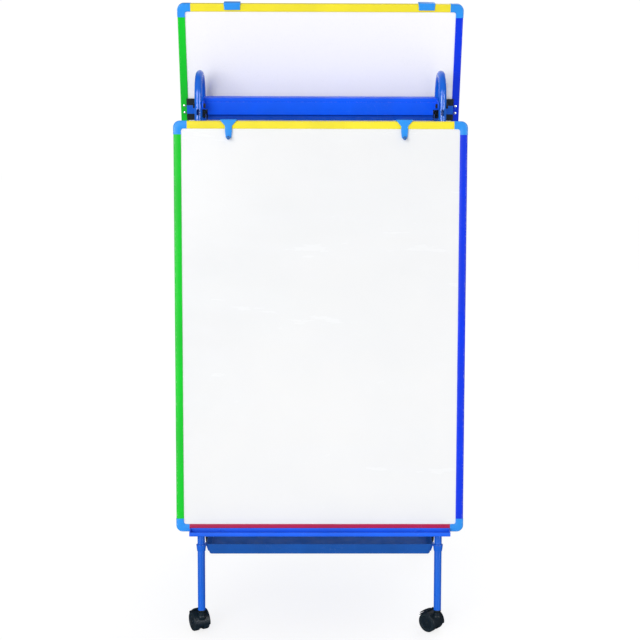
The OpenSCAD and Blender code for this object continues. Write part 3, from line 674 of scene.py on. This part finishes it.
def buildKnob(side, low, word, sign):
    # polar surface: radius = base + swing * cos(lobes * angle), the swing fading towards hub and foot
    n = knobLook
    rows = np.array([[0, 15.6, 0], [5.4, 15.6, 0], [6.0, 16.2, 0], [6.0, 18.2, 0], [8.6, 18.6, 0.5],
                     [11.2, 18.9, 0.9], [12.1, 19.8, 1], [12.4, 21.5, 1], [12.4, 25.5, 1], [12.0, 27.4, 1],
                     [10.8, 28.5, 0.95], [8.6, 28.8, 0.6], [7.0, 28.4, 0.25], [6.4, 28.8, 0], [6.1, 30.2, 0],
                     [5.2, 30.9, 0], [2.5, 31.0, 0], [0, 31.0, 0]])
    t = np.arange(90) / 90 * 2 * math.pi
    r = rows[None, :, 0] + n["swing"] * rows[None, :, 2] * np.cos(n["lobes"] * t)[:, None]
    x = sign * easel["legX"] + r * np.sin(t)[:, None]
    z = low + easel["bracketUp"] + r * np.cos(t)[:, None]
    grid = np.stack([x, np.broadcast_to(rows[:, 1], r.shape), z], -1)
    screw = turned([[0, 9.95], [2.6, 9.95], [2.95, 10.4], [2.95, 16.5], [0, 16.5]],
                   [sign * easel["legX"], 0, low + easel["bracketUp"]], [0, 1, 0], 24, side)
    makePiece(f"{side}_knob_{word}_lobed", [closedBand(toWorld(side, grid)), screw],
              f"{side}_knob_{word}_body", finishes["blackPlastic"],
              (f"{side}_knob_{word}",), sharp=45)


for side, board in boards.items():
    buildRails(side, board["low"])
    buildCaps(side, board["low"])
    buildPenTray(side, board["low"])
    buildStraps(side, board["low"])
    buildPads(side, board["low"])
    buildRivets(side, board["low"])
    for word, x in board["hooks"].items():
        buildHook(side, board["low"], word, x)
    for word, sign in (("left", -1.0), ("right", 1.0)):
        buildKnob(side, board["low"], word, sign)
    print("board built:", side)


shelf = {"floorHalf": 280.5, "rimHalf": 288.5, "halfDepth": 235.0, "floorZ": 207.0, "height": 27.0,
         "sheet": 1.6, "corner": 5.0, "fold": 2.6, "collarLow": 219.0, "collarHigh": 236.0, "screwY": 223.0,
         "screwUp": 16.0}


def buildShelf():
    # a folded pan: a rounded rectangle grows with height, the skin goes out under the floor, up, over the
    # rim and back in
    s = shelf
    t = s["sheet"]
    skin = roundedOutline([[-400, 0], [0, 0], [0, s["height"]], [-t, s["height"]], [-t, t], [-400, t]],
                          [0, s["fold"], t * 0.45, t * 0.45, s["fold"] - t, 0], 7)
    # drop the far ends, the floor closes at the middle
    skin = skin[7:-7]
    rise = np.clip(skin[:, 1], 0, None)
    inset = skin[:, 0]
    corners = np.array([[1, 1], [-1, 1], [-1, -1], [1, -1]], float)
    rows = []
    for k in range(len(skin)):
        hx = s["floorHalf"] + (s["rimHalf"] - s["floorHalf"]) * rise[k] / s["height"] + inset[k]
        hy = s["halfDepth"] + inset[k]
        rows.append(roundedOutline(corners * [hx, hy], max(s["corner"] + inset[k], 1.2), 8))
    loops = np.stack(rows)
    grid = np.concatenate([loops, np.broadcast_to((s["floorZ"] + skin[:, 1])[:, None, None],
                                                  (*loops.shape[:2], 1))], -1)
    below = grid[0] * [0, 0, 1]
    above = grid[-1] * [0, 0, 1]
    fillBelow = np.stack([below + (grid[0] - below) * f for f in (0.0, 0.4, 0.75)])
    fillAbove = np.stack([above + (grid[-1] - above) * f for f in (0.75, 0.4, 0.0)])
    full = np.concatenate([fillBelow, grid, fillAbove]) * millimetre
    verts, quads = closedTube(full)
    makePiece("storage_tray_folded", [(verts, quads[:-2])], "frame", finishes["trayBlue"],
              ("storage_tray",), sharp=40)


def buildCollars():
    # flared rings on the legs, each with a thin ear that follows the pan's leaning wall and holds a screw
    s = shelf
    wall = lambda up: s["floorHalf"] + (s["rimHalf"] - s["floorHalf"]) * up / s["height"]
    ring = roundedOutline([[9.6, 0.0], [10.7, 0.0], [12.8, 17.0], [9.6, 17.0]], [0.3, 0.5, 1.2, 0.5], 6)
    ear = np.array([[wall(7.0) + 0.1, 7.0], [wall(7.0) + 2.4, 7.0], [wall(20.0) + 2.4, 20.5],
                    [easel["legX"] - 9.0, 20.5], [easel["legX"] - 9.0, 24.0], [wall(24.0) + 0.1, 24.0]])
    ear = roundedOutline(ear, [0.3, 0.8, 0.8, 0.2, 0.2, 0.3], 4)
    tilt = math.atan2(s["rimHalf"] - s["floorHalf"], s["height"])
    head = [[0, -4.6], [2.4, -4.3], [3.8, -3.2], [4.0, -2.2], [2.0, -2.2], [2.0, 2.3], [0, 2.3]]
    rings, screws = [], []
    for sx in (-1.0, 1.0):
        for side, sy in (("front", -1.0), ("rear", 1.0)):
            rings.append(turned(ring, [sx * easel["legX"], 0, s["collarLow"]], [0, 0, 1], 40, side))
            place = lambda o, v: np.stack([sx * o[:, 0], np.full(len(o), v), s["floorZ"] + o[:, 1]],
                                          1) * millimetre
            rings.append(extruded(ear, [sy * (s["screwY"] - 8), sy * (s["screwY"] + 8)], place))
            centre = [sx * (wall(s["screwUp"]) - 0.04), sy * s["screwY"], s["floorZ"] + s["screwUp"]]
            screws.append(turned(head, centre, [sx * math.cos(tilt), 0, -math.sin(tilt)], 24))
    makePiece("tray_collars_flared", rings, "frame", finishes["frameBlue"], ("tray_collars",),
              sharp=38)
    makePiece("tray_screw_heads", screws, "frame", finishes["zincPlate"], ("tray_screws",), sharp=45)


buildShelf()
buildCollars()
print("storage tray built")


barLook = {"halfWide": 30.0, "wall": 2.0, "top": 1342.0, "fullTo": 281.5, "endAt": 289.5, "plate": 2.8,
           "endLow": 1314.0, "flange": 38.0, "flangeZ": 1294.0, "lipZ": 1288.0, "step": 5.0,
           "grooveZ": 1332.5, "groove": 0.8, "ear": 68.5, "earLow": 1316.5, "earHigh": 1336.5,
           "paintedShadeBelow": 1301.0}


def mirrored(points):
    # a line given from the bottom to the top on the plus side, carried on down the minus side
    p = np.asarray(points, float)
    return np.concatenate([p, p[::-1] * [-1, 1]])


def buildCrossbar():
    # a folded hat section: outer line up, over and down, then the same line one sheet thickness inside
    b = barLook
    w, t, g = b["halfWide"], b["wall"], b["groove"]
    grooved = [[w, b["grooveZ"] - g], [w - g, b["grooveZ"]], [w, b["grooveZ"] + g], [w, b["top"]]]
    hatOuter = [[b["flange"], b["lipZ"]], [b["flange"], b["flangeZ"]], [w - b["step"], b["flangeZ"]],
                [w - b["step"], b["flangeZ"] + 4.0], [w, b["flangeZ"] + 6.5]] + grooved
    hatInner = [[b["flange"] - t, b["lipZ"]], [b["flange"] - t, b["flangeZ"] - t],
                [w - b["step"] - t, b["flangeZ"] - t], [w - b["step"] - t, b["flangeZ"] + 5.0],
                [w - t, b["flangeZ"] + 7.5], [w - t, b["top"] - t]]
    hat = np.concatenate([mirrored(hatOuter), mirrored(hatInner)[::-1]])
    outerRadii, innerRadii = [0.7, 2.2, 1.0, 1.0, 1.0, 0.3, 0.3, 0.3, 3.0], [0.7, 0.6, 2.4, 0.8, 0.8, 1.2]
    radii = outerRadii + outerRadii[::-1] + innerRadii + innerRadii[::-1]
    place = lambda o, s: np.stack([np.full(len(o), s), o[:, 0], o[:, 1]], 1) * millimetre
    parts = [extruded(roundedOutline(hat, radii, 5), np.linspace(-b["fullTo"], b["fullTo"], 16), place)]
    channel = np.concatenate([mirrored([[w, b["endLow"]]] + grooved),
                              mirrored([[w - t, b["endLow"]], [w - t, b["top"] - t]])[::-1]])
    channelRadii = [0.7, 0.3, 0.3, 0.3, 3.0, 3.0, 0.3, 0.3, 0.3, 0.7, 0.7, 1.2, 1.2, 0.7]
    plate = mirrored([[w, b["endLow"]], [w, b["earLow"]], [b["ear"], b["earLow"]], [b["ear"], b["earHigh"]],
                      [w, b["earHigh"]], [w, b["top"]]])
    plateRadii = [1.0, 1.0, 6.0, 6.0, 2.0, 3.0]
    for sign in (-1, 1):
        parts.append(extruded(roundedOutline(channel, channelRadii, 5),
                              [sign * (b["fullTo"] - 0.2), sign * (b["endAt"] + 0.3)], place))
        parts.append(extruded(roundedOutline(plate, plateRadii + plateRadii[::-1], 6),
                              [sign * b["endAt"], sign * (b["endAt"] + b["plate"])], place))
    bar = makePiece("crossbar_folded", parts, "frame", finishes["barBlue"], ("apex_crossbar",),
                    sharp=32)
    # faces below this height take the darker copy of the bar's blue: painted shade along the crossbar's
    # lower band and lip
    bar.data.materials.append(finishes["barPaintedShade"])
    for face in bar.data.polygons:
        face.material_index = int(face.center.z < b["paintedShadeBelow"] * millimetre)


buildCrossbar()
print("crossbar built")


casters = {"fl": (-1, -1, 25.0), "fr": (1, -1, 45.0), "rl": (-1, 1, 20.0), "rr": (1, 1, -35.0)}
casterLook = {"trail": 20.0, "axle": 25.0, "web": 4.2, "wheelWide": 16.0, "hoodRadius": 28.2,
              "hoodInner": 26.0, "hoodFrom": 34.0, "hoodTo": 187.0}
socketY = footY - 72.0 * math.tan(lean)


def atCaster(word, points):
    # turn about the stem, then out to the leg
    sx, sy, turn = casters[word]
    a = math.radians(turn)
    p = np.asarray(points, float)
    x = p[..., 0] * math.cos(a) - p[..., 1] * math.sin(a) + sx * easel["legX"]
    y = p[..., 0] * math.sin(a) + p[..., 1] * math.cos(a) + sy * socketY
    return np.stack([x, y, p[..., 2]], -1) * millimetre


def acrossCaster(word):
    # puts an outline of y and z at a distance along the caster's axle
    return lambda o, s: atCaster(word, np.stack([np.full(len(o), s), o[:, 0], o[:, 1]], 1))


def spunAt(word, profile, centre, axis, steps=48):
    verts, quads = turned(profile, centre, axis, steps)
    return atCaster(word, np.asarray(verts).reshape(-1, 3) / millimetre), quads


def buildHousing(word):
    c = casterLook
    out = c["web"] + c["wheelWide"] + 1.0
    # fender: a flat arch of a section carried round the axle
    section = roundedOutline([[-out, c["hoodInner"]], [-out, c["hoodRadius"]], [out, c["hoodRadius"]],
                              [out, c["hoodInner"]]], [0.5, 1.6, 1.6, 0.5], 5)
    angle = np.radians(np.linspace(c["hoodFrom"], c["hoodTo"], 44))
    taper = 1 - 0.10 * np.clip((np.cos(angle) - 0.35) / 0.65, 0, 1)
    x = np.broadcast_to(section[None, :, 0], (44, len(section))) * taper[:, None]
    y = c["trail"] + section[None, :, 1] * np.cos(angle)[:, None]
    z = c["axle"] + section[None, :, 1] * np.sin(angle)[:, None]
    fender = closedTube(atCaster(word, np.stack([x, y, z], -1)))
    w = c["web"]
    web = spunAt(word, roundedOutline([[0.0, -w], [22.0, -w], [22.0, w], [0.0, w]], [0, 1.2, 1.2, 0], 5),
                 [0, c["trail"], c["axle"]], [1, 0, 0])
    boss = spunAt(word, roundedOutline([[0, 38], [10.5, 38], [10.5, 46], [9.0, 49], [9.0, 57], [0, 57]],
                                       [0, 1, 2, 2, 1.4, 0], 5), [0, 0, 0], [0, 0, 1])
    strutOutline = roundedOutline([[-2, 38], [-2, 49], [8, 51.5], [c["trail"] + 6, 52.6],
                                   [c["trail"] + 6, 36]], [1, 2, 3, 1, 1], 5)
    strut = extruded(strutOutline, [-w, w], acrossCaster(word))
    parts = [fender, web, boss, strut]
    if word in ("fl", "fr"):
        ear = roundedOutline([[c["trail"] + 1, 50], [c["trail"] + 8, 50], [c["trail"] + 8, 56.5],
                              [c["trail"] + 1, 56.5]], [0.3, 0.3, 2.6, 2.6], 6)
        parts += [extruded(ear, [s * 11.4, s * 14.4], acrossCaster(word)) for s in (-1, 1)]
        parts.append(spunAt(word, [[0, -14], [1.4, -14], [1.4, 14], [0, 14]], [0, c["trail"] + 4.5, 54.6],
                            [1, 0, 0], 20))
    makePiece(f"caster_{word}_hood", parts, f"caster_{word}", finishes["blackPlastic"],
              (f"caster_{word}_housing",), sharp=38, bevel=0.4)


def buildWheel(word, letter, sign):
    # a turned section: crowned tread, rounded shoulders, dished face with a raised ring
    c = casterLook
    a = c["web"] + 0.4
    b = a + c["wheelWide"]
    section = roundedOutline([[3.1, a], [21, a], [21.5, a + 0.8], [23.5, a], [25, a + 2.2], [25, b - 2.4],
                              [23.2, b], [18.4, b], [17.2, b - 2.2], [8.2, b - 2.2], [7.4, b - 0.9],
                              [3.1, b - 0.9]], [0.3, 0.4, 0.6, 1.2, 2.0, 2.2, 1.2, 0.8, 0.8, 0.5, 0.5, 0.3],
                             5)
    section = section * [1, sign]
    centre = [0, c["trail"], c["axle"]]
    body = f"caster_{word}_wheel_{letter}_body"
    makePiece(f"caster_{word}_tyre_{letter}", [spunAt(word, section, centre, [1, 0, 0], 64)], body,
              finishes["treadRubber"], (f"caster_{word}_wheel_{letter}",), sharp=40)
    # five shallow spokes on the dished face, as one lobed disc
    t = np.arange(80) / 80 * 2 * math.pi
    rows = np.array([[3.2, b - 2.6, 0], [14.6, b - 2.6, 1], [15.4, b - 1.9, 1], [14.8, b - 1.3, 1],
                     [7.0, b - 1.2, 0], [3.2, b - 1.2, 0]])
    r = rows[None, :, 0] + 1.1 * rows[None, :, 2] * np.cos(5 * t)[:, None]
    grid = np.stack([np.broadcast_to(sign * rows[:, 1], r.shape), c["trail"] + r * np.cos(t)[:, None],
                     c["axle"] + r * np.sin(t)[:, None]], -1)
    cap = spunAt(word, roundedOutline([[0, b - 1.8], [6.4, b - 1.8], [6.4, b + 0.5], [0, b + 0.9]],
                                      [0, 0.3, 0.8, 0], 5) * [1, sign], centre, [1, 0, 0], 40)
    makePiece(f"caster_{word}_hub_{letter}", [closedBand(atCaster(word, grid)), cap], body,
              finishes["blackPlastic"], (), sharp=40)


pedalLook = {"inner": 28.6, "outer": 31.0, "from": 84.0, "to": 30.0, "half": 11.0,
             "ribs": (70.0, 60.0, 50.0, 40.0)}


def buildBrake(word):
    # a curved plate that lies close over the hood, with ribs for the toe and a turned-up end
    c, n = casterLook, pedalLook
    angle = np.radians(np.linspace(n["from"], n["to"], 18))
    lift = 3.2 * np.clip((np.cos(angle) - 0.6) / 0.27, 0, 1) ** 2
    section = roundedOutline([[-n["half"], n["inner"]], [-n["half"], n["outer"]], [n["half"], n["outer"]],
                              [n["half"], n["inner"]]], [0.4, 1.0, 1.0, 0.4], 4)
    x = np.broadcast_to(section[None, :, 0], (18, len(section)))
    reach = section[None, :, 1] + lift[:, None]
    y = c["trail"] + reach * np.cos(angle)[:, None]
    z = c["axle"] + reach * np.sin(angle)[:, None]
    parts = [closedTube(atCaster(word, np.stack([x, y, z], -1)))]
    for turn in np.radians(n["ribs"]):
        rise = n["outer"] + 3.2 * np.clip((np.cos(turn) - 0.6) / 0.27, 0, 1) ** 2
        centre = [0, c["trail"] + rise * math.cos(turn), c["axle"] + rise * math.sin(turn)]
        parts.append(spunAt(word, [[0, -9], [0.7, -9], [0.7, 9], [0, 9]], centre, [1, 0, 0], 14))
    makePiece(f"brake_{word}_pedal", parts, f"brake_{word}", finishes["blackPlastic"],
              (f"brake_lever_{word}",), sharp=38)


for word in casters:
    buildHousing(word)
    buildWheel(word, "a", -1.0)
    buildWheel(word, "b", 1.0)
    if word in ("fl", "fr"):
        buildBrake(word)
print("casters built")


studio = {"floor": 16.0, "sun": 1.60, "sunFrom": (-0.45, -1.0, 0.30), "sunSpread": 38.0, "backFill": 24.0,
          "skySeen": 1.02, "skyDiffuse": 0.62, "skyGlossy": 0.14, "stripAngle": 43.0, "stripAway": 4.2,
          "stripWide": 1.0, "stripTall": 3.0, "strip": 190.0, "floorGlow": 0.785, "floorSeen": 0.30,
          "floorGlossy": 0.22}


def floorFinish():
    # a bright sweep: to the eye it glows a little, so shadows on it stay faint; in reflections it is dim
    material, tree, shader = newMaterial("paleFloor")
    clouds = useEffect(tree, "clouds", Scale=0.8, Detail=3.0)
    ray = addNode(tree, "ShaderNodeLightPath")
    tone = mixColour(tree, mathNode(tree, "MULTIPLY", clouds, 0.10), colourOf((0.975, 0.975, 0.975)),
                     colourOf((0.955, 0.955, 0.96)))
    tone = mixColour(tree, ray.outputs["Is Glossy Ray"], tone, colourOf((studio["floorGlossy"],) * 3))
    tone = mixColour(tree, ray.outputs["Is Camera Ray"], tone, colourOf((studio["floorSeen"],) * 3))
    tree.links.new(tone, shader.inputs["Base Color"])
    glow = mixColour(tree, ray.outputs["Is Camera Ray"], colourOf((0.0, 0.0, 0.0)),
                     colourOf((studio["floorGlow"],) * 3))
    tree.links.new(glow, shader.inputs["Emission Color"])
    shader.inputs["Emission Strength"].default_value = 1.0
    shader.inputs["Roughness"].default_value = 0.8
    shader.inputs["Specular IOR Level"].default_value = 0.1
    return material


def aimed(lamp, place, aim):
    lamp.location = place
    lamp.rotation_euler = (Vector(aim) - Vector(place)).to_track_quat("-Z", "Y").to_euler()
    bpy.context.scene.collection.objects.link(lamp)


def buildStudio():
    half = studio["floor"] / 2
    mesh = bpy.data.meshes.new("studio_floor")
    mesh.from_pydata([(-half, -half, 0), (half, -half, 0), (half, half, 0), (-half, half, 0)], [],
                     [(0, 1, 2, 3)])
    mesh.materials.append(floorFinish())
    floor = bpy.data.objects.new("studio_floor", mesh)
    bpy.context.scene.collection.objects.link(floor)
    sun = bpy.data.lights.new("softSun", "SUN")
    sun.energy, sun.angle = studio["sun"], math.radians(studio["sunSpread"])
    aimed(bpy.data.objects.new("softSun", sun), studio["sunFrom"], (0, 0, 0))
    fill = bpy.data.lights.new("backFill", "AREA")
    fill.shape, fill.size, fill.energy = "DISK", 2.4, studio["backFill"]
    aimed(bpy.data.objects.new("backFill", fill), (1.6, 3.0, 2.4), (0, 0, 0.8))
    for sign in (-1, 1):
        # tall strips that only draw highlights
        strip = bpy.data.lights.new("edgeStrip", "AREA")
        strip.shape, strip.size, strip.size_y = "RECTANGLE", studio["stripWide"], studio["stripTall"]
        strip.energy = studio["strip"]
        swing = math.radians(studio["stripAngle"])
        lamp = bpy.data.objects.new("edgeStrip", strip)
        lamp.visible_diffuse = False
        aimed(lamp, (sign * studio["stripAway"] * math.sin(swing), -studio["stripAway"] * math.cos(swing),
                     1.5), (0, 0, 0.9))
    buildSky()


def buildSky():
    # white to the eye, dimmer as a light, dimmer still in reflections, so that strong colours stay strong
    world = bpy.data.worlds.new("softWorld")
    bpy.context.scene.world = world
    world.use_nodes = True
    tree = world.node_tree
    sky = tree.nodes["Background"]
    ray = addNode(tree, "ShaderNodeLightPath")
    level = rampNode(tree, ray.outputs["Is Glossy Ray"], 0.0, 1.0, studio["skyDiffuse"], studio["skyGlossy"])
    level = rampNode(tree, ray.outputs["Is Camera Ray"], 0.0, 1.0, level, studio["skySeen"])
    sky.inputs["Color"].default_value = (1.0, 1.0, 1.0, 1.0)
    tree.links.new(level, sky.inputs["Strength"])


view = {"place": (-0.0239, -3.3475, 1.6180), "pitch": 14.315, "yaw": 0.422, "roll": -0.177, "lens": 74.09,
        "film": 36.0}


def buildCamera():
    pitch, yaw, roll = (math.radians(view[k]) for k in ("pitch", "yaw", "roll"))
    ahead = np.array([math.sin(yaw) * math.cos(pitch), math.cos(yaw) * math.cos(pitch), -math.sin(pitch)])
    right = np.array([math.cos(yaw), -math.sin(yaw), 0.0])
    down = np.cross(ahead, right)
    across = right * math.cos(roll) + down * math.sin(roll)
    under = -right * math.sin(roll) + down * math.cos(roll)
    lens = bpy.data.cameras.new("viewCamera")
    lens.lens, lens.sensor_width, lens.sensor_fit = view["lens"], view["film"], "HORIZONTAL"
    camera = bpy.data.objects.new("viewCamera", lens)
    turn = Matrix((across.tolist(), (-under).tolist(), (-ahead).tolist())).transposed()
    camera.matrix_world = Matrix.Translation(view["place"]) @ turn.to_4x4()
    bpy.context.scene.collection.objects.link(camera)
    bpy.context.scene.camera = camera


buildStudio()
buildCamera()
bpy.context.scene.view_settings.view_transform = "Standard"
print("studio and camera set")
